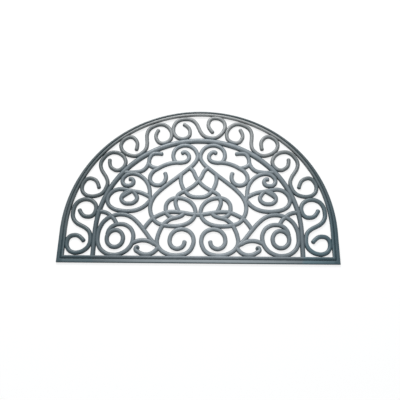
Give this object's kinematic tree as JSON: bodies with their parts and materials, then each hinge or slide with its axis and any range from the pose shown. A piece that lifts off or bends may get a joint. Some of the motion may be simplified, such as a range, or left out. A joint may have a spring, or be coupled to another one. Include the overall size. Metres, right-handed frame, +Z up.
{
  "type": "door mat",
  "caption": "Half-round moulded rubber door mat, an open grille of wrought-iron style scrolls inside a ribbed frame, flat underneath.",
  "frame": {"origin": "middle of the mat's bounding box, on the floor", "axes": "+X along the straight front edge, +Y from it towards the arc's top, +Z up"},
  "size_m": [0.762, 0.4699, 0.0095],
  "materials": {
    "moulded_rubber": "satin"
  },
  "bodies": {
    "root": {"rim": "moulded_rubber", "base_bar": "moulded_rubber", "inner_arch": "moulded_rubber", "border_scroll_1": "moulded_rubber", "border_scroll_2": "moulded_rubber", "border_scroll_3": "moulded_rubber", "border_scroll_4": "moulded_rubber", "border_scroll_5": "moulded_rubber", "border_scroll_6": "moulded_rubber", "border_scroll_7": "moulded_rubber", "cross_bar": "moulded_rubber", "loop_bow": "moulded_rubber", "lattice_left": "moulded_rubber", "lattice_right_top": "moulded_rubber", "lattice_right_foot": "moulded_rubber", "left_coil": "moulded_rubber", "left_coil_ring": "moulded_rubber", "left_coil_root": "moulded_rubber", "left_coil_spur": "moulded_rubber", "left_leaf_top": "moulded_rubber", "left_leaf_bottom": "moulded_rubber", "left_foot_scroll": "moulded_rubber", "left_heart_bar": "moulded_rubber", "left_shoulder_scroll": "moulded_rubber", "left_knot_bowl": "moulded_rubber", "left_knot_crown": "moulded_rubber", "left_knot_tail": "moulded_rubber", "left_knot_hook": "moulded_rubber", "left_knot_post": "moulded_rubber", "left_bow_tie": "moulded_rubber", "left_eye_curl": "moulded_rubber", "left_eye_lid": "moulded_rubber", "left_eye_ring": "moulded_rubber", "left_branch": "moulded_rubber", "left_branch_link": "moulded_rubber", "right_coil": "moulded_rubber", "right_coil_ring": "moulded_rubber", "right_coil_root": "moulded_rubber", "right_coil_spur": "moulded_rubber", "right_leaf_top": "moulded_rubber", "right_leaf_bottom": "moulded_rubber", "right_foot_scroll": "moulded_rubber", "right_heart_bar": "moulded_rubber", "right_shoulder_scroll": "moulded_rubber", "right_knot_bowl": "moulded_rubber", "right_knot_crown": "moulded_rubber", "right_knot_tail": "moulded_rubber", "right_knot_hook": "moulded_rubber", "right_knot_post": "moulded_rubber", "right_bow_tie": "moulded_rubber", "right_eye_curl": "moulded_rubber", "right_eye_lid": "moulded_rubber", "right_eye_ring": "moulded_rubber", "right_branch": "moulded_rubber", "right_branch_link": "moulded_rubber"}
  },
  "joints": []
}
